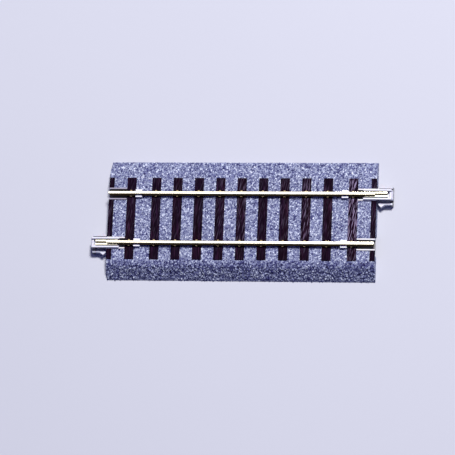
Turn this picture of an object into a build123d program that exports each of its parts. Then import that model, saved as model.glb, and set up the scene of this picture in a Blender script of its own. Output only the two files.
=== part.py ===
"""A straight section of 16.5 mm gauge model railway track on a moulded ballast roadbed.

X runs along the rails, Y across them and Z up. The origin is at the middle of the section, on
the surface that the roadbed stands on. Every length is in millimetres. The two ends are alike
after a half turn about Z: at each end one rail carries a clip-on joiner and the other is bare.

What sits at the end of a rail is drawn from there: "out" is the distance outward past the end
of the roadbed, negative inside it, and "side" is the distance across from the middle of the rail.
"""

from build123d import *
import os

os.makedirs("parts", exist_ok=True)

# ---- driving dimensions ---------------------------------------------------------------------
section_length = 94.0
gauge = 16.5  # between the inner faces of the rail heads
fit_gap = 0.02  # round pieces that are pressed together
slide_gap = 0.04  # round pieces that slide on each other

# roadbed
base_width = 42.0
base_lip = 0.4  # upright edge at the foot of the slopes
crest_width = 32.4
ballast_height = 4.5
crest_round = 4.5
plate_thickness = 1.2
slope_thickness = 1.4
end_wall = 1.0
rib_thickness = 0.9
rib_foot = 0.6  # the ribs stop this far above the ground

# rail, a scaled flat-bottom section 0.083 inch high
rail_height = 2.1
head_width = 1.0
head_depth = 0.5
head_round = 0.18
web_width = 0.4
rail_foot_width = 1.5
rail_end_gap = 0.25  # the rails stop this far inside the ends of the roadbed
rail_foot_edge = 0.25
rail_foot_rise = 0.4

# sleepers
sleeper_length = 29.0
sleeper_width = 3.2
sleeper_top = 5.0
sleeper_pitch = 7.55
inner_sleepers = 9  # evenly spaced, with one more at each end, a little further out
end_pitch = 8.8
half_sleeper_width = 1.75
half_sleeper_depth = 0.6  # how far the half sleepers are let into the ballast
runner_width = 1.2
runner_depth = 0.9
outer_runner_place = 13.6
chair_height = 0.1
chair_length = 1.8
chair_reach = 1.35
spike_length = 0.7
spike_outer = 1.12
spike_neck = 0.83
spike_lip = 0.63
spike_top = 5.75

# rail anchors, one inboard of the last full sleeper at each rail end
anchor_length = 2.3
anchor_half_width = 1.35
anchor_top = 5.95
anchor_lip_edge = 0.6  # how near the lugs come to the middle of the rail
anchor_foot_half_width = 2.3
anchor_foot_depth = 0.6

# pocket at each rail end, and its light-coloured liner
slot_half_width = 2.1
strip_thickness = 0.45
strip_top = 5.1
liner_half_width = 2.5
liner_thickness = 0.5
notch_half_width = 3.7

# joiner housing: a body between the strips of the liner, with walls that ride above them
body_bottom = 3.4
wall_bottom = 5.14
wall_top = 5.85
wall_inner = 1.25
wall_outer = 1.8
tail_length = 4.5
pit_floor = 3.9  # deep between the walls, but for a bed under the fishplate
bed_half_width = 0.7
nose_start = 4.55
nose_length = 5.65
nose_top = 5.0  # low enough to pass under the rail of the next section
nose_slope_start = 5.1
nose_slope_drop = 0.6
foot_start = 4.45
foot_bottom = 0.9
foot_top = 1.8
foot_half_width = 3.4
foot_bevel = 0.35

# latch arms, one each side of a joiner
arm_side = 2.85  # middle of the arm, across from the rail
arm_thickness = 0.5
arm_end = 0.55  # the free end stops this far outside the roadbed
arm_bottom = 1.0
arm_top = 3.2
arm_swing_room = 0.11
barb_side = 4.02
barb_tip = 1.45
barb_start = 2.75
knuckle_radius = 0.32
knuckle_out = 5.1

# fishplate, the folded metal plate inside a joiner
plate_metal = 0.16
plate_inside = 4.0
plate_outside = 3.85
plate_lip_edge = 0.3
plate_round = 0.13

# ---- what follows from them -----------------------------------------------------------------
half_length = section_length / 2
half_sleeper_length = sleeper_length / 2
rail_side = gauge / 2 + head_width / 2
plate_bottom = ballast_height - plate_thickness
rail_bottom = sleeper_top + chair_height
rail_foot_half = rail_foot_width / 2
last_inner = sleeper_pitch * (inner_sleepers - 1) / 2
last_sleeper = last_inner + end_pitch
full_places = [index * sleeper_pitch - last_inner for index in range(inner_sleepers)]
full_places = [-last_sleeper] + full_places + [last_sleeper]
pocket_depth = half_length - last_sleeper - sleeper_width / 2
anchor_place = last_sleeper - sleeper_width / 2 - fit_gap - anchor_length / 2
runner_top = plate_bottom - fit_gap
long_rib_side = rail_side - notch_half_width - rib_thickness / 2 - 0.1
step_height = ballast_height - half_sleeper_depth
neck_rise = 0.4  # how far a neck laps into what it joins
end_neck_length = half_sleeper_width - end_wall - fit_gap
end_neck_place = half_length - end_wall - fit_gap - end_neck_length / 2
frame_half_length = half_length - end_wall - fit_gap
liner_top = plate_bottom - fit_gap
strip_side = slot_half_width - fit_gap
rail_places = (-rail_side, rail_side)
runner_places = (-outer_runner_place, 0, outer_runner_place)
spike_hook = rail_bottom + rail_foot_edge + 0.15
spike_outline = [  # distance across from the rail, and height
    (spike_outer, sleeper_top),
    (spike_outer, spike_top - 0.12),
    (spike_outer - 0.15, spike_top),
    (spike_lip, spike_top),
    (spike_lip, spike_hook + 0.06),
    (spike_neck, spike_hook),
    (spike_neck, sleeper_top),
]
stub_gap = slot_half_width + fit_gap
ends = {"left": -1, "right": 1}
sides = {"near": -1, "far": 1}
joiner_sides = {"left": "near", "right": "far"}


def save(piece, label):
    """Names a finished piece and writes its STEP file."""
    piece.label = label
    export_step(piece, f"parts/{label}.step")


def rail_end(end, side, height):
    """A level plane at the end of a rail: its X points outward and its Y across the rail."""
    x_dir = (ends[end], 0, 0)
    return Plane(origin=(ends[end] * half_length, sides[side] * rail_side, height), x_dir=x_dir)


def beside_rail(end, side):
    """An upright plane along a rail: its X points outward and its Y up from the ground."""
    x_dir = (ends[end], 0, 0)
    z_dir = (0, -ends[end], 0)
    return Plane(origin=(ends[end] * half_length, sides[side] * rail_side, 0), x_dir=x_dir, z_dir=z_dir)


def rail_section(end, side, out):
    """An upright plane across a rail end: its X runs across the rail and its Y up."""
    origin = (ends[end] * (half_length + out), sides[side] * rail_side, 0)
    return Plane(origin=origin, x_dir=(0, ends[end], 0), z_dir=(ends[end], 0, 0))


def band(start_out, end_out, start_side, end_side):
    """A rectangle from one distance outward and across to another, in the open sketch."""
    with Locations(((start_out + end_out) / 2, (start_side + end_side) / 2)):
        Rectangle(end_out - start_out, end_side - start_side)


def upright(low_side, high_side, low, high):
    """A rectangle from one side and height to another, in an open upright sketch."""
    with Locations(((low_side + high_side) / 2, (low + high) / 2)):
        Rectangle(high_side - low_side, high - low)


# ---- roadbed --------------------------------------------------------------------------------
def make_roadbed():
    half_base = base_width / 2
    half_crest = crest_width / 2
    cavity_foot = half_base - slope_thickness
    cavity_top = half_crest - slope_thickness / 2
    clear_half_sleeper = half_sleeper_length + fit_gap
    step_depth = half_sleeper_width + fit_gap
    with BuildPart() as roadbed:
        with BuildSketch(Plane.YZ):
            with BuildLine():
                Polyline(
                    (-half_base, 0),
                    (-half_base, base_lip),
                    (-half_crest, ballast_height),
                    (half_crest, ballast_height),
                    (half_base, base_lip),
                    (half_base, 0),
                    close=True,
                )
            make_face()
        extrude(amount=half_length, both=True)
        fillet(roadbed.edges().filter_by(Axis.X).group_by(Axis.Z)[-1], crest_round)

        # the hollow underside, with ribs left standing in it
        with BuildSketch(Plane.YZ):
            with BuildLine():
                Polyline(
                    (-cavity_foot, 0),
                    (-cavity_top, plate_bottom),
                    (cavity_top, plate_bottom),
                    (cavity_foot, 0),
                    close=True,
                )
            make_face()
        extrude(amount=half_length - end_wall, both=True, mode=Mode.SUBTRACT)
        with BuildSketch(Plane.XY.offset(rib_foot)):
            with GridLocations(1, 2 * long_rib_side, 1, 2):
                Rectangle(section_length - end_wall, rib_thickness)
            with GridLocations(3 * sleeper_pitch, 1, 4, 1):
                Rectangle(rib_thickness, 2 * cavity_top)
        extrude(amount=plate_bottom - rib_foot)

        # windows for the sleepers and the rail anchors
        with BuildSketch(Plane.XY.offset(plate_bottom)):
            with Locations(*[(place, 0) for place in full_places]):
                Rectangle(sleeper_width + 2 * fit_gap, 2 * clear_half_sleeper)
            with GridLocations(2 * anchor_place, 2 * rail_side, 2, 2):
                Rectangle(anchor_length + 2 * fit_gap, 2 * (anchor_half_width + fit_gap))
        extrude(amount=plate_thickness, mode=Mode.SUBTRACT)

        # room under the plate for the runners that join the sleepers
        with BuildSketch(Plane.XY.offset(plate_bottom)):
            with GridLocations(1, outer_runner_place, 1, 3):
                Rectangle(2 * (half_length - end_wall), runner_width + 2 * fit_gap)
        extrude(amount=-runner_depth - 2 * fit_gap, mode=Mode.SUBTRACT)

        # at each end, a step for the half sleeper, and slots and notches for the joiners
        with BuildSketch(Plane.XY.offset(plate_bottom)):
            with GridLocations(section_length, 2 * rail_side, 2, 2):
                Rectangle(2 * (pocket_depth - fit_gap), 2 * slot_half_width)
            with GridLocations(2 * end_neck_place, outer_runner_place, 2, 3):
                Rectangle(end_neck_length + 2 * fit_gap, runner_width + 2 * fit_gap)
        extrude(amount=plate_thickness, mode=Mode.SUBTRACT)
        with BuildSketch(Plane.XY.offset(step_height)):
            with Locations((half_length, 0), (-half_length, 0)):
                Rectangle(2 * step_depth, 2 * clear_half_sleeper)
        extrude(amount=half_sleeper_depth, mode=Mode.SUBTRACT)
        with BuildSketch():
            with GridLocations(section_length, 2 * rail_side, 2, 2):
                Rectangle(2 * end_wall, 2 * notch_half_width)
        extrude(amount=plate_bottom, mode=Mode.SUBTRACT)
    return roadbed.part


# ---- sleepers -------------------------------------------------------------------------------
def make_sleeper_frame():
    half_sleeper_place = half_length - half_sleeper_width / 2
    middle_stub = 2 * (rail_side - stub_gap)
    outer_stub = half_sleeper_length - rail_side - stub_gap
    outer_stub_place = half_sleeper_length - outer_stub / 2
    with BuildPart() as frame:
        with BuildSketch(Plane.XY.offset(plate_bottom + fit_gap)):
            with Locations(*[(place, 0) for place in full_places]):
                Rectangle(sleeper_width, sleeper_length)
        extrude(amount=sleeper_top - plate_bottom - fit_gap)

        # half sleepers, cut through by the rail pockets
        with BuildSketch(Plane.XY.offset(step_height + fit_gap)):
            with GridLocations(2 * half_sleeper_place, 1, 2, 1):
                Rectangle(half_sleeper_width, middle_stub)
            with GridLocations(2 * half_sleeper_place, 2 * outer_stub_place, 2, 2):
                Rectangle(half_sleeper_width, outer_stub)
        extrude(amount=sleeper_top - step_height - fit_gap)

        # runners under the plate of the roadbed, and the necks that rise to the sleepers
        with BuildSketch(Plane.XY.offset(runner_top)):
            with GridLocations(1, outer_runner_place, 1, 3):
                Rectangle(2 * frame_half_length, runner_width)
        extrude(amount=-runner_depth)
        with BuildSketch(Plane.XY.offset(runner_top - neck_rise)):
            for runner_place in runner_places:
                with Locations(*[(place, runner_place) for place in full_places]):
                    Rectangle(sleeper_width, runner_width)
        extrude(amount=2 * neck_rise)
        with BuildSketch(Plane.XY.offset(runner_top - neck_rise)):
            with GridLocations(2 * end_neck_place, outer_runner_place, 2, 3):
                Rectangle(end_neck_length, runner_width)
        extrude(amount=step_height + 2 * neck_rise - runner_top)

        # chairs under the rails, with a spike on each side of the rail
        with BuildSketch(Plane.XY.offset(sleeper_top)):
            for rail_place in rail_places:
                with Locations(*[(place, rail_place) for place in full_places]):
                    Rectangle(chair_length, 2 * chair_reach)
        extrude(amount=chair_height - fit_gap)
        for rail_place in rail_places:
            for spike_side in (-1, 1):
                outline = [(rail_place + spike_side * side, height) for side, height in spike_outline]
                for place in full_places:
                    with BuildSketch(Plane.YZ.offset(place)):
                        with BuildLine():
                            Polyline(*outline, close=True)
                        make_face()
                    extrude(amount=spike_length / 2, both=True)
    return frame.part


# ---- rails and what holds their ends --------------------------------------------------------
def make_rail(side):
    half_head = head_width / 2
    half_web = web_width / 2
    head_bottom = rail_height - head_depth
    outline = [
        (-rail_foot_half, 0),
        (-rail_foot_half, rail_foot_edge),
        (-half_web, rail_foot_rise),
        (-half_web, head_bottom - 0.1),
        (-half_head, head_bottom + 0.05),
        (-half_head, rail_height),
        (half_head, rail_height),
        (half_head, head_bottom + 0.05),
        (half_web, head_bottom - 0.1),
        (half_web, rail_foot_rise),
        (rail_foot_half, rail_foot_edge),
        (rail_foot_half, 0),
    ]
    with BuildPart() as rail:
        with BuildSketch(Plane.YZ):
            with BuildLine():
                Polyline(*[(sides[side] * rail_side + y, rail_bottom + z) for y, z in outline], close=True)
            make_face()
        extrude(amount=half_length - rail_end_gap, both=True)
        fillet(rail.edges().filter_by(Axis.X).group_by(Axis.Z)[-1], head_round)
    return rail.part


def make_rail_anchor(end, side):
    outer_end = anchor_place + anchor_length / 2 - half_length
    seat = rail_bottom - slide_gap
    lip_bottom = rail_bottom + rail_foot_rise + slide_gap
    room = rail_foot_half + slide_gap
    foot_bottom_height = liner_top - anchor_foot_depth
    with BuildPart() as anchor:
        with BuildSketch(rail_section(end, side, outer_end)):
            upright(-anchor_half_width, anchor_half_width, liner_top, anchor_top)
            upright(-anchor_foot_half_width, anchor_foot_half_width, foot_bottom_height, liner_top)
            with Locations((0, (seat + lip_bottom) / 2)):
                Rectangle(2 * room, lip_bottom - seat, mode=Mode.SUBTRACT)
            with Locations((0, anchor_top)):
                Rectangle(2 * anchor_lip_edge, 2 * (anchor_top - lip_bottom), mode=Mode.SUBTRACT)
        extrude(amount=-anchor_length)
    return anchor.part


def make_pocket_liner(end, side):
    depth = pocket_depth - 2 * fit_gap
    with BuildPart() as liner:
        with BuildSketch(rail_end(end, side, liner_top)):
            band(-depth, -end_wall - fit_gap, -liner_half_width, liner_half_width)
            band(-depth, 0, -strip_side, strip_side)
        extrude(amount=-liner_thickness)
        with BuildSketch(rail_end(end, side, liner_top)):
            for hand in (-1, 1):
                band(-depth, 0, hand * (strip_side - strip_thickness), hand * strip_side)
        extrude(amount=strip_top - liner_top)
    return liner.part


# ---- joiners --------------------------------------------------------------------------------
def make_joiner(end):
    side = joiner_sides[end]
    body_half_width = strip_side - strip_thickness - slide_gap
    bed_top = rail_bottom - slide_gap - plate_metal - fit_gap
    swing_half_width = arm_thickness / 2 + arm_swing_room
    foot_bevel_start = nose_length - foot_bevel
    foot_tip_half_width = foot_half_width - foot_bevel
    slope_end = (nose_length, nose_top - nose_slope_drop)
    with BuildPart() as joiner:
        # the body, and the walls on top of it that stand beside the fishplate
        with BuildSketch(rail_end(end, side, body_bottom)):
            band(-tail_length, nose_length, -body_half_width, body_half_width)
        extrude(amount=wall_top - body_bottom)
        with BuildSketch(rail_end(end, side, wall_bottom)):
            band(-tail_length, nose_length, -wall_outer, wall_outer)
        extrude(amount=wall_top - wall_bottom)
        with BuildSketch(rail_end(end, side, pit_floor)):
            band(-tail_length, nose_start, -wall_inner, wall_inner)
        extrude(amount=wall_top - pit_floor, mode=Mode.SUBTRACT)
        with BuildSketch(rail_end(end, side, pit_floor)):
            band(-tail_length, plate_outside, -bed_half_width, bed_half_width)
        extrude(amount=bed_top - pit_floor)

        # the nose: level and then sloping down, low enough for a rail to pass over it
        with BuildSketch(beside_rail(end, side)):
            with BuildLine():
                Polyline(
                    (nose_start, wall_top),
                    (nose_start, nose_top),
                    (nose_slope_start, nose_top),
                    slope_end,
                    (nose_length, wall_top),
                    close=True,
                )
            make_face()
        extrude(amount=wall_inner, both=True, mode=Mode.SUBTRACT)
        with BuildSketch(beside_rail(end, side)):
            with BuildLine():
                Polyline((nose_slope_start, wall_top), slope_end, (nose_length, wall_top), close=True)
            make_face()
        extrude(amount=wall_outer, both=True, mode=Mode.SUBTRACT)

        # the foot of the nose, with its corners cut off, that carries the latch arms
        with BuildSketch(rail_end(end, side, foot_bottom)):
            with BuildLine():
                Polyline(
                    (foot_start, -foot_half_width),
                    (foot_bevel_start, -foot_half_width),
                    (nose_length, -foot_tip_half_width),
                    (nose_length, foot_tip_half_width),
                    (foot_bevel_start, foot_half_width),
                    (foot_start, foot_half_width),
                    close=True,
                )
            make_face()
        extrude(amount=foot_top - foot_bottom)
        with BuildSketch(rail_end(end, side, foot_top)):
            band(foot_start, nose_length, -body_half_width, body_half_width)
        extrude(amount=body_bottom - foot_top)
        with BuildSketch(rail_end(end, side, foot_bottom)):
            for arm_place in (-arm_side, arm_side):
                with Locations((knuckle_out, arm_place)):
                    Circle(knuckle_radius + slide_gap)
                band(foot_start, knuckle_out, arm_place - swing_half_width, arm_place + swing_half_width)
        extrude(amount=foot_top - foot_bottom, mode=Mode.SUBTRACT)
    return joiner.part


def make_latch(end, hand):
    side = joiner_sides[end]
    place = hand * arm_side
    inner = place - hand * arm_thickness / 2
    outer = place + hand * arm_thickness / 2
    with BuildPart() as latch:
        with BuildSketch(rail_end(end, side, arm_bottom)):
            with BuildLine():
                Polyline(
                    (knuckle_out, inner),
                    (arm_end, inner),
                    (arm_end, outer),
                    (barb_tip, hand * barb_side),
                    (barb_start, outer),
                    (knuckle_out, outer),
                    close=True,
                )
            make_face()
            with Locations((knuckle_out, place)):
                Circle(knuckle_radius)
        extrude(amount=arm_top - arm_bottom)
    return latch.part


def make_fishplate(end):
    side = joiner_sides[end]
    inner_half = rail_foot_half + slide_gap
    outer_half = inner_half + plate_metal
    inner_bottom = rail_bottom - slide_gap
    inner_top = rail_bottom + rail_foot_rise + slide_gap
    with BuildPart() as plate:
        with BuildSketch(rail_section(end, side, -plate_inside)):
            upright(-outer_half, outer_half, inner_bottom - plate_metal, inner_top + plate_metal)
            with Locations((0, (inner_bottom + inner_top) / 2)):
                Rectangle(2 * inner_half, inner_top - inner_bottom, mode=Mode.SUBTRACT)
            with Locations((0, inner_top + plate_metal / 2)):
                Rectangle(2 * plate_lip_edge, 2 * plate_metal, mode=Mode.SUBTRACT)
        extrude(amount=plate_inside + plate_outside)
        corners = plate.edges().filter_by(Axis.X)
        outer_corners = corners.filter_by(lambda edge: at_corner(edge, side, outer_half))
        fillet(outer_corners, plate_round)
    return plate.part


def at_corner(edge, side, outer_half):
    """True for a lengthwise edge on the outside of the fishplate."""
    return abs(abs(edge.center().Y - sides[side] * rail_side) - outer_half) < fit_gap / 2


# ---- write the pieces -----------------------------------------------------------------------
save(make_roadbed(), "roadbed")
save(make_sleeper_frame(), "sleeper_frame")
for side in sides:
    save(make_rail(side), f"rail_{side}")
for end in ends:
    for side in sides:
        save(make_rail_anchor(end, side), f"rail_anchor_{end}_{side}")
        save(make_pocket_liner(end, side), f"pocket_liner_{end}_{side}")
for end in ends:
    save(make_joiner(end), f"joiner_{end}")
    save(make_fishplate(end), f"fishplate_{end}")
    save(make_latch(end, ends[end] * -1), f"latch_{end}_near")
    save(make_latch(end, ends[end]), f"latch_{end}_far")
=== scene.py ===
import math

import bmesh
import bpy
from mathutils import Matrix, Vector, noise


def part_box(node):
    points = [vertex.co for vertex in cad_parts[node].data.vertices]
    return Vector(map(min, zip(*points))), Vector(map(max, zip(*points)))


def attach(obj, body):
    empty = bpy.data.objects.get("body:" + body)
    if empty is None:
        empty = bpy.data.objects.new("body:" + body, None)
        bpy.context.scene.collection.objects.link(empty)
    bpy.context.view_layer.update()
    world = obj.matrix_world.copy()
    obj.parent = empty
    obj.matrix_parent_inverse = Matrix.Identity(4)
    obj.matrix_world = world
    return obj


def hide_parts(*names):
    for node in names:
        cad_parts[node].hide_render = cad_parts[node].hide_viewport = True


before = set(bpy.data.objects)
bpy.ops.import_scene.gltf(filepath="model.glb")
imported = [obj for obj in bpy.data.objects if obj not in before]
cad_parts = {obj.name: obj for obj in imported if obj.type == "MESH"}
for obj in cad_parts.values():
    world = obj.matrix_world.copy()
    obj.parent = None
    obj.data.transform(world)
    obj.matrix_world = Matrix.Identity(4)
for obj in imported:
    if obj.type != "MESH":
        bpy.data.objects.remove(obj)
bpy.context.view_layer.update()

# ---- the frame ------------------------------------------------------------------------------
MM = 0.001
TRACK = "track"


def box_mm(node):
    """The lowest and highest corners of a CAD node, in millimetres."""
    low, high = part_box(node)
    return Vector(low) / MM, Vector(high) / MM


# dimensions of the roadbed and the sleepers that no box gives, in millimetres
CREST_HALF = 16.2  # from the middle to where the crest and a bank would meet in a sharp edge
CREST_ROUND = 4.5  # the radius that rounds this edge
BASE_LIP = 0.4  # the upright edge at the foot of a bank
SLEEPER_WIDTH = 3.2
SLEEPER_PITCH = 7.55
INNER_SLEEPERS = 9
HALF_SLEEPER_WIDTH = 1.75
HALF_SLEEPER_DEPTH = 0.58  # from the top of the ballast down to its underside
SLEEPER_DROP = 0.1  # from the foot of the rail down to the top of the sleepers
SLOT_HALF_WIDTH = 2.1  # the pockets for the joiners, under the ends of the rails
PLATE_BOTTOM = 3.3  # the underside of the roadbed's top plate
RUNNER_WIDTH = 1.2
RUNNER_SIDE = 13.6
RUNNER_END_GAP = 1.02  # from the end of the roadbed to the end of a runner
FIT = 0.02  # the gap between neighbouring pieces

road_high = box_mm("roadbed")[1]
frame_low, frame_high = box_mm("sleeper_frame")
rail_low, rail_high = box_mm("rail_far")
anchor_high = box_mm("rail_anchor_right_far")[1]
half_length = road_high.x
half_base = road_high.y
ballast_top = road_high.z
rail_side = (rail_low.y + rail_high.y) / 2
rail_bottom = rail_low.z
sleeper_top = rail_bottom - SLEEPER_DROP
half_sleeper_length = frame_high.y
last_sleeper_inner = anchor_high.x + FIT
pocket_depth = half_length - last_sleeper_inner - SLEEPER_WIDTH


# ---- mesh tools -----------------------------------------------------------------------------
def lines(stops, step):
    """Places from the first stop to the last, about a step apart, with every stop among them."""
    places = [stops[0]]
    for low, high in zip(stops, stops[1:]):
        count = max(1, round((high - low) / step))
        places += [low + (high - low) * (index + 1) / count for index in range(count)]
    return places


def smooth_step(value, low, high):
    """Turns smoothly from 0 at the low value to 1 at the high one."""
    share = min(1.0, max(0.0, (value - low) / (high - low)))
    return share * share * (3 - 2 * share)


def new_piece(name, mesh_builder, material, body, smooth_angle):
    """Makes an object from a bmesh in millimetres, and lets it ride on a body.

    Edges that turn by more than the smooth angle, in degrees, stay sharp.
    """
    mesh = bpy.data.meshes.new(name)
    bmesh.ops.recalc_face_normals(mesh_builder, faces=mesh_builder.faces)
    bmesh.ops.scale(mesh_builder, vec=(MM, MM, MM), verts=mesh_builder.verts)
    mesh_builder.to_mesh(mesh)
    mesh_builder.free()
    mesh.shade_smooth()
    mesh.set_sharp_from_angle(angle=math.radians(smooth_angle))
    piece = bpy.data.objects.new(name, mesh)
    bpy.context.scene.collection.objects.link(piece)
    mesh.materials.append(material)
    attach(piece, body)
    return piece


def add_box(builder, low, high, bevel=0.0):
    """Adds a box between two corners, with its edges rounded off."""
    low, high = Vector(low), Vector(high)
    size = high - low
    matrix = Matrix.Translation((low + high) / 2) @ Matrix.Diagonal((*size, 1))
    made = bmesh.ops.create_cube(builder, size=1, matrix=matrix)
    if bevel:
        edges = {edge for vert in made["verts"] for edge in vert.link_edges}
        bmesh.ops.bevel(
            builder, geom=list(edges), offset=bevel, segments=2, profile=0.5, affect="EDGES"
        )


def add_square(builder, grid, column, row):
    """Adds the face between four neighbouring points of a grid."""
    corners = ((0, 0), (1, 0), (1, 1), (0, 1))
    builder.faces.new([grid[column + i, row + j] for i, j in corners])


# ---- materials ------------------------------------------------------------------------------
class Nodes:
    """A short way to write a node material: each method adds a node and returns its output."""

    def __init__(self, name):
        self.material = bpy.data.materials.new(name)
        self.material.use_nodes = True
        self.tree = self.material.node_tree
        self.shader = self.tree.nodes["Principled BSDF"]
        self.place = self.add("ShaderNodeTexCoord").outputs["Object"]

    def add(self, kind, **values):
        node = self.tree.nodes.new(kind)
        for name, value in values.items():
            setattr(node, name, value)
        return node

    def link(self, source, socket):
        if hasattr(source, "is_output"):
            self.tree.links.new(source, socket)
        else:
            socket.default_value = source

    def set(self, **values):
        """Sets the shader's sockets; an underscore in a name stands for a space."""
        for name, value in values.items():
            self.link(value, self.shader.inputs[name.replace("_", " ")])

    def stretched(self, x, y, z):
        """The place on the object, with its axes multiplied."""
        node = self.add("ShaderNodeMapping")
        self.link(self.place, node.inputs["Vector"])
        node.inputs["Scale"].default_value = (x, y, z)
        return node.outputs["Vector"]

    def height(self):
        """The height on the object, in metres."""
        split = self.add("ShaderNodeSeparateXYZ")
        self.link(self.place, split.inputs[0])
        return split.outputs["Z"]

    def noise(self, scale, detail, place=None, distortion=0.0):
        node = self.add("ShaderNodeTexNoise")
        self.link(place or self.place, node.inputs["Vector"])
        node.inputs["Scale"].default_value = scale
        node.inputs["Detail"].default_value = detail
        node.inputs["Distortion"].default_value = distortion
        return node.outputs["Fac"]

    def cells(self, scale, output):
        node = self.add("ShaderNodeTexVoronoi")
        self.link(self.place, node.inputs["Vector"])
        node.inputs["Scale"].default_value = scale
        return node.outputs[output]

    def attribute(self, name):
        node = self.add("ShaderNodeAttribute", attribute_name=name)
        return node.outputs["Fac"]

    def ramp(self, value, *stops):
        """A colour ramp; each stop is a place and a grey value or a colour."""
        node = self.add("ShaderNodeValToRGB")
        self.link(value, node.inputs["Fac"])
        elements = node.color_ramp.elements
        while len(elements) < len(stops):
            elements.new(0.5)
        for element, (position, colour) in zip(elements, stops):
            element.position = position
            if isinstance(colour, (int, float)):
                colour = (colour, colour, colour)
            element.color = (*colour, 1)
        return node.outputs["Color"]

    def mix(self, share, first, second, blend="MIX"):
        node = self.add("ShaderNodeMix", data_type="RGBA", blend_type=blend)
        self.link(share, node.inputs["Factor"])
        for source, socket in ((first, node.inputs[6]), (second, node.inputs[7])):
            if isinstance(source, tuple):
                source = (*source, 1)
            self.link(source, socket)
        return node.outputs[2]

    def math(self, operation, first, second, clamp=False):
        node = self.add("ShaderNodeMath", operation=operation, use_clamp=clamp)
        self.link(first, node.inputs[0])
        self.link(second, node.inputs[1])
        return node.outputs[0]

    def bump(self, height, strength, distance):
        node = self.add("ShaderNodeBump")
        self.link(height, node.inputs["Height"])
        node.inputs["Strength"].default_value = strength
        node.inputs["Distance"].default_value = distance
        self.link(node.outputs["Normal"], self.shader.inputs["Normal"])

    def facing_up(self):
        """How far the surface faces up, from -1 to 1."""
        geometry = self.add("ShaderNodeNewGeometry")
        split = self.add("ShaderNodeSeparateXYZ")
        self.link(geometry.outputs["Normal"], split.inputs[0])
        return split.outputs["Z"]


STONE_COLOURS = (  # from the darkest flecks to the palest
    (0.00, (0.004, 0.003, 0.050)),
    (0.16, (0.018, 0.017, 0.130)),
    (0.32, (0.153, 0.165, 0.349)),
    (0.50, (0.328, 0.362, 0.522)),
    (0.68, (0.475, 0.525, 0.664)),
    (0.82, (0.760, 0.812, 0.965)),
    (1.00, (1.000, 1.000, 1.000)),
)
HOLLOW_SHADE_TINT = (0.09, 0.09, 0.24)  # painted shade, deep between the stones
GRIT_SPREAD = 0.75  # how far the finest grit spreads the shades of the stones
BODY_CELLS = 2300  # per metre, on the roadbed's own plastic
BALLAST_SPECULAR = 0.3


def ballast_material(name, from_mesh):
    """Speckled grey ballast. The modelled stones carry their shade and height in the mesh."""
    nodes = Nodes(name)
    if from_mesh:
        shade = nodes.attribute("stone_shade")
        rise = nodes.attribute("stone_height")
    else:
        shade = nodes.cells(BODY_CELLS, "Color")
        rise = nodes.ramp(nodes.cells(BODY_CELLS, "Distance"), (0.0, 1.0), (0.8, 0.1))
    fine = nodes.noise(4200, 2.0)
    spread = nodes.math("MULTIPLY", nodes.math("SUBTRACT", fine, 0.5), GRIT_SPREAD)
    colour = nodes.ramp(nodes.math("ADD", shade, spread), *STONE_COLOURS)
    # painted shade in the hollows between the stones, darker the lower they lie
    colour = nodes.mix(1.0, colour, nodes.ramp(rise, (0.03, HOLLOW_SHADE_TINT), (0.50, 1.0)), "MULTIPLY")
    patches = nodes.ramp(nodes.noise(130, 2.0), (0.35, 0.96), (0.65, 1.03))
    nodes.set(
        Base_Color=nodes.mix(1.0, colour, patches, "MULTIPLY"),
        Roughness=nodes.ramp(fine, (0.3, 0.70), (0.7, 0.90)),
    )
    nodes.shader.inputs["Specular IOR Level"].default_value = BALLAST_SPECULAR
    if from_mesh:
        nodes.bump(nodes.noise(6500, 4.0), 0.5, 0.00008)
    else:
        nodes.bump(rise, 0.8, 0.00025)
    return nodes.material


SLEEPER_SPECULAR = 0.02


def sleeper_material():
    """Dark stained timber moulded in plastic: darker in the grooves, paler where it is rubbed.

    The grooves, the rubbed places and the painted highlight on the spike heads are in the mesh.
    """
    nodes = Nodes("sleeper_brown")
    groove = nodes.attribute("groove")
    scuff = nodes.attribute("scuff")
    grain = nodes.noise(1, 4.0, nodes.stretched(2600, 160, 2600), 0.4)
    tone = nodes.noise(1, 2.0, nodes.stretched(500, 60, 500))
    dark = nodes.mix(tone, (0.006, 0.001, 0.002), (0.0035, 0.0012, 0.009))
    light = nodes.mix(tone, (0.055, 0.010, 0.021), (0.029, 0.015, 0.060))
    streaks = nodes.math("MULTIPLY", nodes.ramp(grain, (0.48, 0.0), (0.70, 1.0)), groove)
    colour = nodes.mix(streaks, dark, light)
    # the rubbed streaks run at a slant to the grain
    slant = nodes.add("ShaderNodeMapping", vector_type="TEXTURE")
    nodes.link(nodes.place, slant.inputs["Vector"])
    slant.inputs["Rotation"].default_value = (0, 0, math.radians(-11))
    slant.inputs["Scale"].default_value = (1 / 3600, 1 / 230, 1 / 1000)
    rub = nodes.ramp(nodes.noise(1, 3.0, slant.outputs["Vector"]), (0.54, 0.0), (0.64, 1.0))
    rub = nodes.math("MULTIPLY", rub, scuff, clamp=True)
    colour = nodes.mix(rub, colour, (0.36, 0.28, 0.45))
    nodes.set(
        # painted highlight: the tops of the spike heads are paler and warmer
        Base_Color=nodes.mix(nodes.attribute("spike"), colour, (0.42, 0.32, 0.18)),
        Roughness=nodes.ramp(grain, (0.3, 0.62), (0.7, 0.80)),
    )
    nodes.shader.inputs["Specular IOR Level"].default_value = SLEEPER_SPECULAR
    nodes.bump(grain, 0.4, 0.00006)
    return nodes.material


BLOTCH_PALER = 1.8  # the palest blotches on the sides of the rails


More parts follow.
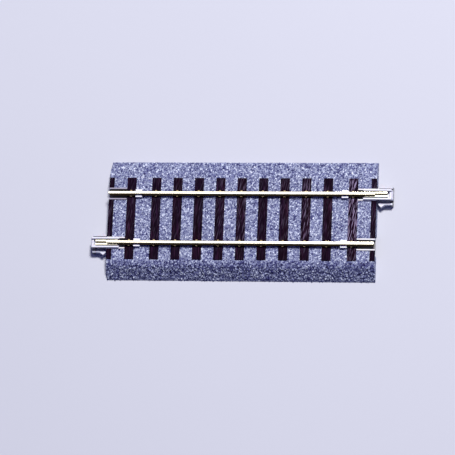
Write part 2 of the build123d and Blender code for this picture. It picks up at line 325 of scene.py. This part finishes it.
def metal_material(name, polished_above, shaded_side_tone):
    """Drawn nickel silver with fine lengthwise lines, polished on top; tarnished and darkened by
    painted shade lower down.
    """
    nodes = Nodes(name)
    lines_along = nodes.noise(1, 4.0, nodes.stretched(14, 9000, 9000))
    blotches = nodes.noise(260, 3.0)
    high = nodes.math("GREATER_THAN", nodes.height(), polished_above * MM)
    up = nodes.ramp(nodes.facing_up(), (0.62, 0.0), (0.93, 1.0))
    bright = nodes.mix(lines_along, (0.96, 0.88, 0.70), (1.0, 0.97, 0.86))
    # tarnish and painted shade: the sides and lower parts are very dark
    dull = nodes.mix(blotches, shaded_side_tone, tuple(part * BLOTCH_PALER for part in shaded_side_tone))
    share = nodes.math("MULTIPLY", up, high)
    rough = nodes.ramp(blotches, (0.3, 0.46), (0.7, 0.60))
    polished = nodes.ramp(lines_along, (0.3, 0.20), (0.7, 0.30))
    nodes.set(
        Base_Color=nodes.mix(share, dull, bright),
        Roughness=nodes.mix(share, rough, polished),
        Metallic=1.0,
    )
    nodes.bump(lines_along, 0.12, 0.00003)
    return nodes.material


LOW_SHADE_LEFT = 0.22  # what is left of the colour where the painted shade low down is full


def plastic_material(name, low, high, roughness, low_shade=None):
    """Pale moulded plastic, faintly mottled between two colours, with a fine satin surface.

    The low shade is two heights in millimetres: painted shade is darkest below the first, and ends
    at the second.
    """
    nodes = Nodes(name)
    mottle = nodes.noise(420, 3.0)
    fine = nodes.noise(6000, 3.0)
    edge = nodes.add("ShaderNodeNewGeometry").outputs["Pointiness"]
    # painted shade darkens the creases, and sharp edges are paler, from the pointiness
    crease_shade = nodes.ramp(edge, (0.47, 0.88), (0.53, 1.06))
    colour = nodes.mix(1.0, nodes.mix(mottle, low, high), crease_shade, "MULTIPLY")
    # painted shade: the colour darkens towards the bottom of the piece
    if low_shade:
        share = nodes.add("ShaderNodeMapRange")
        nodes.link(nodes.height(), share.inputs["Value"])
        share.inputs["From Min"].default_value = low_shade[0] * MM
        share.inputs["From Max"].default_value = low_shade[1] * MM
        share.inputs["To Min"].default_value = LOW_SHADE_LEFT
        colour = nodes.mix(1.0, colour, share.outputs["Result"], "MULTIPLY")
    nodes.set(
        Base_Color=colour,
        Roughness=nodes.ramp(fine, (0.3, roughness - 0.06), (0.7, roughness + 0.08)),
    )
    nodes.shader.inputs["Subsurface Weight"].default_value = 0.08
    nodes.shader.inputs["Subsurface Scale"].default_value = 0.0004
    nodes.bump(fine, 0.25, 0.00003)
    return nodes.material


RAIL_POLISHED = 0.3  # how far down from its top a rail can be polished
FISHPLATE_DULL_AND_SHADED = 0.3  # how far up from the foot of the rail a fishplate is dull and dark with painted shade
JOINER_LOW_SHADE = (1.9, 3.6)  # painted shade near the bottom of the joiners; see plastic_material
# painted shade low in the pocket liners; see plastic_material
LINER_LOW_SHADE = (4.2, 5.0)
BALLAST_STONES = ballast_material("ballast_stones", from_mesh=True)
BALLAST_BODY = ballast_material("ballast_body", from_mesh=False)
SLEEPER = sleeper_material()
# the very dark side tones of the rails and fishplates are tarnish and painted shade
RAIL = metal_material(
    "rail_nickel_silver", rail_high.z - RAIL_POLISHED, (0.048, 0.033, 0.018)
)
FISHPLATE = metal_material(
    "fishplate_metal", rail_bottom + FISHPLATE_DULL_AND_SHADED, (0.022, 0.016, 0.011)
)
PALE = plastic_material(
    "joiner_plastic", (0.56, 0.56, 0.65), (0.68, 0.68, 0.76), 0.38, JOINER_LOW_SHADE
)
ARM = plastic_material("latch_plastic", (0.54, 0.54, 0.63), (0.64, 0.64, 0.72), 0.38)
# a darker copy of the latch plastic: painted shade for the far latches
SHADED_ARM = plastic_material("shaded_latch_plastic", (0.40, 0.39, 0.47), (0.50, 0.49, 0.57), 0.45)
LINER = plastic_material(
    "liner_plastic", (0.58, 0.57, 0.62), (0.70, 0.69, 0.74), 0.42, LINER_LOW_SHADE
)
# a darker copy of the liner plastic: painted shade for the far left pocket
SHADED_LINER = plastic_material(
    "shaded_liner_plastic", (0.22, 0.20, 0.28), (0.30, 0.28, 0.37), 0.5, LINER_LOW_SHADE
)
ANCHOR = plastic_material("anchor_plastic", (0.70, 0.70, 0.76), (0.82, 0.82, 0.88), 0.40)


# ---- ballast --------------------------------------------------------------------------------
STONE_SIZE = 0.43
GRIT_SIZE = 0.29
STONE_SHARE = 0.72  # of the relief; the grit has the rest
STONE_SHADE_SHARE = 0.62  # of the shade
RELIEF = 0.40  # from the hollows to the tops of the stones
BANK_RELIEF = 0.80
BANK_START = 0.5  # inside the edge of the crest, where the deeper relief of a bank sets in
BANK_FULL = 0.8  # and outside the edge, where it is full
FOOT_FADE = 0.5  # the relief dies away this near the foot of a bank
FAR_SHOULDER_SHADE = 0.018  # painted shade on the stones beyond the ends of the sleepers
# more painted shade beyond the near ends of the sleepers
NEAR_SHOULDER_SHADE = 0.060
SHOULDER_START = 0.4  # inside the ends of the sleepers
SHOULDER_FULL = 0.6  # and outside them
NEAR_BROW_SHADE = 0.075  # and more painted shade along the brow of the near bank
BROW_START = (14.6, 15.6)  # from the middle of the track
BROW_END = (16.6, 17.8)
GRID = 0.20  # between the points of the mesh
SKIN_DEPTH = 0.35
LET_IN = 0.03  # how far the lowest hollows lie under the roadbed's own surface
EDGE_GAP = 0.04  # between the stones and the foot of the bank
SLOT_GAP = 0.03
SLACK = 1e-6  # for comparing places that were worked out in different ways


def hashed(point):
    """A number from 0 to 1 that belongs to a point."""
    return (math.sin(point.x * 127.1 + point.y * 311.7 + point.z * 74.7) * 43758.5453) % 1.0


def stones(x, y):
    """Height and shade of the stones at a place, each from 0 to 1."""
    warp = 0.25 * noise.noise(Vector((x * 0.8, y * 0.8, 3.0)))
    near, points = noise.voronoi(Vector(((x + warp) / STONE_SIZE, (y - warp) / STONE_SIZE, 0.3)))
    fine, grit_points = noise.voronoi(Vector((x / GRIT_SIZE, y / GRIT_SIZE, 7.1)))
    own = hashed(points[0])
    stone = smooth_step(near[1] - near[0], 0.0, 0.45) * (0.45 + 0.55 * own)
    grit = smooth_step(fine[1] - fine[0], 0.0, 0.5) * (0.4 + 0.6 * own)
    # another number of the same stone, so that its shade doesn't follow its height
    stone_shade = hashed(points[0] + Vector((5.0, 1.0, 2.0)))
    grit_shade = hashed(grit_points[0])
    return (
        STONE_SHARE * stone + (1 - STONE_SHARE) * grit,
        STONE_SHADE_SHARE * stone_shade + (1 - STONE_SHADE_SHARE) * grit_shade,
    )


def ballast_height(y):
    """The height of the roadbed at a distance across the track, and its slope."""
    rise = (ballast_top - BASE_LIP) / (half_base - CREST_HALF)
    angle = math.atan(rise)
    round_start = CREST_HALF - CREST_ROUND * math.tan(angle / 2)
    along_round = abs(y) - round_start
    if along_round <= 0:
        return ballast_top, 0.0
    if along_round < CREST_ROUND * math.sin(angle):
        left = math.sqrt(CREST_ROUND ** 2 - along_round ** 2)
        return ballast_top - CREST_ROUND + left, -math.copysign(along_round / left, y)
    return BASE_LIP + (half_base - abs(y)) * rise, -math.copysign(rise, y)


def darker(y):
    """How much painted shade lowers the shade of the stones at a distance across the track."""
    end = half_sleeper_length
    shoulder = smooth_step(abs(y), end - SHOULDER_START, end + SHOULDER_FULL)
    brow = smooth_step(-y, *BROW_START) * (1 - smooth_step(-y, *BROW_END))
    side = FAR_SHOULDER_SHADE if y > 0 else NEAR_SHOULDER_SHADE
    return side * shoulder + NEAR_BROW_SHADE * brow


def stone_surface(x, y):
    """The point on the stones over a place, with the height and the shade there."""
    level, slope = ballast_height(y)
    height, shade = stones(x, y)
    normal = Vector((0, -slope, 1)).normalized()
    bank = smooth_step(abs(y), CREST_HALF - BANK_START, CREST_HALF + BANK_FULL)
    relief = RELIEF + (BANK_RELIEF - RELIEF) * bank
    lift = relief * height * smooth_step(half_base - abs(y), 0.0, FOOT_FADE)
    point = Vector((x, y, level - LET_IN)) + normal * lift
    foot = half_base - EDGE_GAP
    point.y = min(foot, max(-foot, point.y))
    # the stones' shade is lowered by the painted shade of the shoulders and the near brow
    return point, height, shade - darker(y)


def add_skirt(builder, xs, ys, top):
    """Takes the rim of the skin straight down, and gives the lower points by column and row."""
    rim = [edge for edge in builder.edges if edge.is_boundary]
    rim_verts = {vert for edge in rim for vert in edge.verts}
    bottom = {}
    below = {}
    for (column, row), vert in top.items():
        if vert in rim_verts:
            level = ballast_height(ys[row])[0]
            below[vert] = builder.verts.new((xs[column], ys[row], level - SKIN_DEPTH))
            bottom[column, row] = below[vert]
    for edge in rim:
        first, second = edge.verts
        builder.faces.new((first, second, below[second], below[first]))
    return bottom


def make_ballast():
    """A closed skin of stones over the crest and banks, let into the roadbed's own plastic."""
    foot = half_base - EDGE_GAP
    end = half_length - FIT
    pocket = half_length - pocket_depth - FIT
    slot_low = rail_side - SLOT_HALF_WIDTH - SLOT_GAP
    slot_high = rail_side + SLOT_HALF_WIDTH + SLOT_GAP
    xs = lines([-end, -pocket, pocket, end], GRID)
    ys = lines([-foot, -slot_high, -slot_low, slot_low, slot_high, foot], GRID)
    builder = bmesh.new()
    shade_layer = builder.verts.layers.float.new("stone_shade")
    height_layer = builder.verts.layers.float.new("stone_height")

    def in_pocket(x, y):
        return abs(x) > pocket and slot_low < abs(y) < slot_high

    top = {}
    for column, x in enumerate(xs):
        for row, y in enumerate(ys):
            if not in_pocket(x, y):
                point, height, shade = stone_surface(x, y)
                vert = builder.verts.new(point)
                vert[shade_layer] = shade
                vert[height_layer] = height
                top[column, row] = vert
    for column in range(len(xs) - 1):
        for row in range(len(ys) - 1):
            middle = ((xs[column] + xs[column + 1]) / 2, (ys[row] + ys[row + 1]) / 2)
            if not in_pocket(*middle):
                add_square(builder, top, column, row)
    bottom = add_skirt(builder, xs, ys, top)

    # long flat strips close the underside
    for row in range(len(ys) - 1):
        middle = (ys[row] + ys[row + 1]) / 2
        reach = pocket if slot_low < abs(middle) < slot_high else end
        sides = []
        for line in (row, row + 1):
            side = [
                bottom[column, line]
                for column, x in enumerate(xs)
                if (column, line) in bottom and abs(x) < reach + SLACK
            ]
            sides.append(side)
        builder.faces.new(sides[0] + sides[1][::-1])
    new_piece("ballast_stones", builder, BALLAST_STONES, TRACK, 180)


# ---- sleepers -------------------------------------------------------------------------------
CARVE = 0.13  # the depth of the grain
COARSE_GRAIN = (0.42, 6.5)  # its width and length
FINE_GRAIN = (0.19, 3.0)
EDGE_WEAR = 0.10  # how far the edges are worn down, and how far in this starts
EDGE_WEAR_WIDTH = 0.22
PLANK_STEP_X = 0.16  # between the points of the mesh
PLANK_STEP_Y = 0.32
SCUFFS = {4: 0.12, 5: 0.18, 7: 0.12, 8: 0.35, 10: 0.9}  # how far the nth from the left is rubbed
SCUFF_ELSEWHERE = 0.06
SCUFF_HALF_SLEEPER = 0.1
SCUFF_START = 2  # outside the near rail, where the rubbing starts to grow
SCUFF_FULL = 1  # and inside it, where it is full
SPIKE_NECK = (0.83, 1.12)  # its two sides, counted from the middle of the rail
SPIKE_NECK_HALF = 0.28
SPIKE_NECK_TOP = 0.5  # over the bottom of the rail
SPIKE_SET_IN = 0.2  # into the sleeper
SPIKE_HEAD = (0.63, 1.14)
SPIKE_HEAD_HALF = 0.35
SPIKE_HEAD_BOTTOM = 0.42
SPIKE_HEAD_TOP = 0.65
CHAIR_HALF_LENGTH = 0.9  # the plate between a rail and a sleeper
CHAIR_HALF_WIDTH = 1.35
CHAIR_SET_IN = 0.25
RUNNER_OVERLAP = 0.3  # the necks reach this far into the sleepers, and start this far up a runner


def grain(x, y, size, seed):
    """A noise that is stretched along a sleeper."""
    return noise.noise(Vector((x / size[0], y / size[1], seed)))


def add_plank(builder, low, high, bottom, seed, scuffed):
    """One sleeper: a block with a grooved, slightly worn top, rubbed less at its near end."""
    groove_layer = builder.verts.layers.float.get("groove")
    scuff_layer = builder.verts.layers.float.get("scuff")
    xs = lines([low[0], high[0]], PLANK_STEP_X)
    ys = lines([low[1], high[1]], PLANK_STEP_Y)
    top = {}
    for column, x in enumerate(xs):
        for row, y in enumerate(ys):
            wander = 0.25 * noise.noise(Vector((x * 0.3, y * 0.12, seed)))
            coarse = abs(grain(x + wander, y, COARSE_GRAIN, seed * 3.7))
            fine = grain(x + wander, y, FINE_GRAIN, seed * 5.3)
            rise = min(1.0, coarse * 2.2) * 0.75 + 0.25 * (0.5 + 0.5 * fine)
            inward = min(x - low[0], high[0] - x, y - low[1], high[1] - y)
            worn = 1 - smooth_step(inward, 0.0, EDGE_WEAR_WIDTH)
            height = sleeper_top - CARVE * (1 - rise) - EDGE_WEAR * worn
            vert = builder.verts.new((x, y, height))
            vert[groove_layer] = rise * (1 - 0.4 * worn)
            inside = smooth_step(y, -rail_side - SCUFF_START, -rail_side + SCUFF_FULL)
            vert[scuff_layer] = scuffed * (0.3 + 0.7 * inside)
            top[column, row] = vert
    for column in range(len(xs) - 1):
        for row in range(len(ys) - 1):
            add_square(builder, top, column, row)
    last_column, last_row = len(xs) - 1, len(ys) - 1
    rim = [(column, 0) for column in range(last_column)]
    rim += [(last_column, row) for row in range(last_row)]
    rim += [(column, last_row) for column in range(last_column, 0, -1)]
    rim += [(0, row) for row in range(last_row, 0, -1)]
    below = [builder.verts.new((*top[key].co.xy, bottom)) for key in rim]
    for index, key in enumerate(rim):
        after = (index + 1) % len(rim)
        vert = below[index]
        vert[groove_layer] = 0.3
        builder.faces.new((top[key], top[rim[after]], below[after], vert))
    builder.faces.new(below[::-1])


def add_spike(builder, x, rail_y, hand):
    """A small spike whose rounded head hooks over the foot of the rail."""
    def add_part(sides, half, bottom, top, bevel):
        low_y, high_y = sorted(rail_y + hand * side for side in sides)
        add_box(builder, (x - half, low_y, bottom), (x + half, high_y, top), bevel)

    neck_bottom = sleeper_top - SPIKE_SET_IN
    neck_top = rail_bottom + SPIKE_NECK_TOP
    head_bottom = rail_bottom + SPIKE_HEAD_BOTTOM
    head_top = rail_bottom + SPIKE_HEAD_TOP
    add_part(SPIKE_NECK, SPIKE_NECK_HALF, neck_bottom, neck_top, bevel=0.04)
    before = set(builder.verts)
    add_part(SPIKE_HEAD, SPIKE_HEAD_HALF, head_bottom, head_top, bevel=0.09)
    # painted highlight: the head gets paler towards its top
    rubbed = builder.verts.layers.float.get("spike")
    for vert in set(builder.verts) - before:
        vert[rubbed] = smooth_step(vert.co.z, neck_top, head_top)


def add_half_sleepers(builder, bottom):
    """The half sleepers at the ends, cut through by the pockets."""
    slot_low = rail_side - SLOT_HALF_WIDTH - FIT
    slot_high = rail_side + SLOT_HALF_WIDTH + FIT
    spans = (
        (-half_sleeper_length, -slot_high),
        (-slot_low, slot_low),
        (slot_high, half_sleeper_length),
    )
    for hand in (-1, 1):
        edges = sorted((hand * half_length, hand * (half_length - HALF_SLEEPER_WIDTH)))
        for index, (low_y, high_y) in enumerate(spans):
            low, high = (edges[0], low_y), (edges[1], high_y)
            add_plank(builder, low, high, bottom, 20.0 + 5 * hand + index, SCUFF_HALF_SLEEPER)


def add_runners(builder, sleeper_places, half_sleeper_bottom):
    """The runners under the roadbed, with a neck up to each sleeper."""
    half_width = SLEEPER_WIDTH / 2
    reach = half_length - RUNNER_END_GAP
    neck_bottom = frame_low.z + RUNNER_OVERLAP
    for runner_y in (-RUNNER_SIDE, 0, RUNNER_SIDE):
        low_y, high_y = runner_y - RUNNER_WIDTH / 2, runner_y + RUNNER_WIDTH / 2
        low, high = (-reach, low_y, frame_low.z), (reach, high_y, PLATE_BOTTOM - FIT)
        add_box(builder, low, high, bevel=0.08)
        neck_top = PLATE_BOTTOM + RUNNER_OVERLAP
        for x in sleeper_places:
            low, high = (x - half_width, low_y, neck_bottom), (x + half_width, high_y, neck_top)
            add_box(builder, low, high)
        neck_top = half_sleeper_bottom + RUNNER_OVERLAP
        for hand in (-1, 1):
            ends = sorted((hand * reach, hand * (half_length - HALF_SLEEPER_WIDTH)))
            add_box(builder, (ends[0], low_y, neck_bottom), (ends[1], high_y, neck_top))


def add_chairs(builder, sleeper_places):
    """A plate under each rail on each sleeper, with a spike on either side."""
    for rail_y in (-rail_side, rail_side):
        low_y, high_y = rail_y - CHAIR_HALF_WIDTH, rail_y + CHAIR_HALF_WIDTH
        for x in sleeper_places:
            low = (x - CHAIR_HALF_LENGTH, low_y, sleeper_top - CHAIR_SET_IN)
            high = (x + CHAIR_HALF_LENGTH, high_y, rail_bottom - FIT)
            add_box(builder, low, high, bevel=0.04)
            for hand in (-1, 1):
                add_spike(builder, x, rail_y, hand)


def make_sleepers():
    """The sleepers, their runners, and the chairs and spikes that hold the rails."""
    last_inner = SLEEPER_PITCH * (INNER_SLEEPERS - 1) / 2
    last = last_sleeper_inner + SLEEPER_WIDTH / 2
    inner = [index * SLEEPER_PITCH - last_inner for index in range(INNER_SLEEPERS)]
    full = [-last, *inner, last]
    half_width = SLEEPER_WIDTH / 2
    plank_bottom = PLATE_BOTTOM + FIT
    half_sleeper_bottom = ballast_top - HALF_SLEEPER_DEPTH
    builder = bmesh.new()
    for layer in ("groove", "scuff", "spike"):
        builder.verts.layers.float.new(layer)
    for index, x in enumerate(full):
        low = (x - half_width, -half_sleeper_length)
        high = (x + half_width, half_sleeper_length)
        scuffed = SCUFFS.get(index, SCUFF_ELSEWHERE)
        add_plank(builder, low, high, plank_bottom, index + 1.0, scuffed)
    add_half_sleepers(builder, half_sleeper_bottom)
    add_runners(builder, full, half_sleeper_bottom)
    add_chairs(builder, full)
    piece = new_piece("sleepers", builder, SLEEPER, TRACK, 40)
    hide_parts("sleeper_frame")


# ---- CAD pieces that stay -------------------------------------------------------------------
FINISHES = (  # the first start of a name that fits gives the material, and the bevel in millimetres
    ("roadbed", BALLAST_BODY, 0.0),
    ("rail_anchor", ANCHOR, 0.08),
    ("rail_", RAIL, 0.04),
    # the far left liner takes the copy with painted shade
    ("pocket_liner_left_far", SHADED_LINER, 0.06),
    ("pocket_liner", LINER, 0.06),
    ("fishplate", FISHPLATE, 0.03),
    ("joiner", PALE, 0.07),
    # the far latches take the copy with painted shade
    ("latch_left_far", SHADED_ARM, 0.07),
    ("latch_right_far", SHADED_ARM, 0.07),
    ("latch", ARM, 0.07),
)


def finish_node(name, material, bevel):
    """Gives a CAD node its material, and breaks its edges."""
    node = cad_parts[name]
    node.data.materials.clear()
    node.data.materials.append(material)
    if bevel:
        weld = node.modifiers.new("weld", "WELD")
        weld.merge_threshold = 1e-6
        round_off = node.modifiers.new("bevel", "BEVEL")
        round_off.width = bevel * MM
        round_off.segments = 3
        round_off.limit_method = "ANGLE"
        round_off.angle_limit = math.radians(30)
        round_off.use_clamp_overlap = True


make_ballast()
make_sleepers()
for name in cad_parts:
    for name_start, material, bevel in FINISHES:
        if name.startswith(name_start):
            finish_node(name, material, bevel)
            break


# ---- floor, light and camera ----------------------------------------------------------------
FLOOR_REACH = 3.0  # metres
FILL_COLOUR = (0.18, 0.21, 1.0)
FILL_STRENGTH = 0.17
SHINE_COLOUR = (0.92, 0.94, 1.0)
SHINE_STRENGTH = 0.50
CAMERA_TILT = -11.748  # degrees, from looking straight down
CAMERA_TURN = -9.696
CAMERA_ROLL = -0.373
CAMERA_PLACE = (-5.387, -1.997, 1018.0)  # millimetres to the camera's right, up and back
CAMERA_LENS = 231.5
CAMERA_SENSOR = 36


def make_floor():
    """A large pale floor, very faintly clouded."""
    nodes = Nodes("pale_floor")
    cloud = nodes.noise(3.0, 2.0)
    nodes.set(
        Base_Color=nodes.mix(cloud, (0.496, 0.506, 0.576), (0.526, 0.536, 0.604)),
        Roughness=0.9,
    )
    mesh = bpy.data.meshes.new("floor")
    reach = FLOOR_REACH
    corners = [(-reach, -reach, 0), (reach, -reach, 0), (reach, reach, 0), (-reach, reach, 0)]
    mesh.from_pydata(corners, [], [(0, 1, 2, 3)])
    mesh.materials.append(nodes.material)
    floor = bpy.data.objects.new("floor", mesh)
    bpy.context.scene.collection.objects.link(floor)


def add_light(name, place, size, power, colour):
    """A softbox that faces the track; its size is across the track's length and then up."""
    light = bpy.data.lights.new(name, "AREA")
    light.shape = "ELLIPSE"
    light.size, light.size_y = size
    light.energy = power
    light.color = colour
    lamp = bpy.data.objects.new(name, light)
    lamp.location = place
    lamp.rotation_euler = Vector(place).to_track_quat("Z", "Y").to_euler()
    bpy.context.scene.collection.objects.link(lamp)


def make_camera():
    """Looks down from in front and a little to the right, with a long lens."""
    tilt = Matrix.Rotation(math.radians(CAMERA_TILT), 3, "X")
    turn = Matrix.Rotation(math.radians(CAMERA_TURN), 3, "Y")
    roll = Matrix.Rotation(math.radians(CAMERA_ROLL), 3, "Z")
    back = (roll @ turn @ tilt).transposed()
    camera = bpy.data.cameras.new("camera")
    camera.lens = CAMERA_LENS
    camera.sensor_width = CAMERA_SENSOR
    camera.clip_end = 20
    holder = bpy.data.objects.new("camera", camera)
    place = back @ Vector(CAMERA_PLACE) * MM
    holder.matrix_world = Matrix.Translation(place) @ back.to_4x4()
    bpy.context.scene.collection.objects.link(holder)
    bpy.context.scene.camera = holder


def make_world():
    """A dim blue fill for the shade, and a pale grey studio for the metal to reflect."""
    world = bpy.data.worlds.new("studio")
    world.use_nodes = True
    tree = world.node_tree
    fill = tree.nodes["Background"]
    fill.inputs["Color"].default_value = (*FILL_COLOUR, 1)
    fill.inputs["Strength"].default_value = FILL_STRENGTH
    shine = tree.nodes.new("ShaderNodeBackground")
    shine.inputs["Color"].default_value = (*SHINE_COLOUR, 1)
    shine.inputs["Strength"].default_value = SHINE_STRENGTH
    kind = tree.nodes.new("ShaderNodeLightPath")
    either = tree.nodes.new("ShaderNodeMixShader")
    tree.links.new(kind.outputs["Is Glossy Ray"], either.inputs[0])
    tree.links.new(fill.outputs[0], either.inputs[1])
    tree.links.new(shine.outputs[0], either.inputs[2])
    tree.links.new(either.outputs[0], tree.nodes["World Output"].inputs["Surface"])
    bpy.context.scene.world = world


make_floor()
make_world()
add_light(
    "key", place=(0.27, 0.47, 1.14), size=(0.28, 0.22), power=22.5, colour=(1.0, 0.985, 0.96)
)
add_light(
    "glint", place=(-0.34, 0.42, 1.93), size=(0.6, 0.4), power=1.4, colour=(1.0, 0.97, 0.88)
)
make_camera()
bpy.context.scene.view_settings.view_transform = "Standard"
